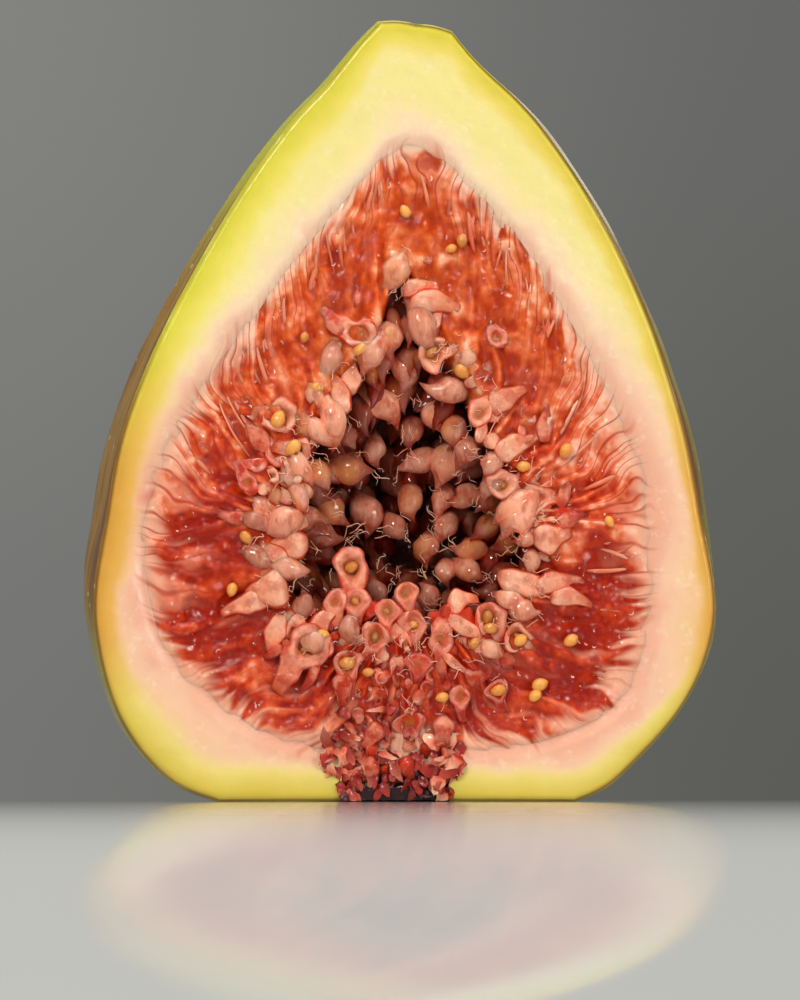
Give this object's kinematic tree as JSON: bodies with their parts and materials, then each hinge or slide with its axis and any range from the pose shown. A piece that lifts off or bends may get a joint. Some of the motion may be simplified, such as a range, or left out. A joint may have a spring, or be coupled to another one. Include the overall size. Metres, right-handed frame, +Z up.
{
  "type": "fresh fig half",
  "caption": "Half of a ripe fresh fig, cut from neck to eye, standing on its flattened base with its red pulp of florets and its hollow open to the front.",
  "frame": {"origin": "on the flat base that the fig stands on, below the middle of the piece from front to back and on the fig's axis from left to right", "axes": "+Z up, from the eye to the neck; -Y out of the cut face; +X to the right as the cut face is looked at"},
  "size_m": [0.0467, 0.0272, 0.0575],
  "materials": {
    "rind": "waxy green to yellow skin over moist cream flesh",
    "pulp": "wet, half clear red pulp with pink florets and amber seeds",
    "eye_scales": "dark, moist purple scales"
  },
  "bodies": {
    "root": {"rind": "rind", "pulp": "pulp", "eye_scales": "eye_scales"}
  },
  "joints": []
}
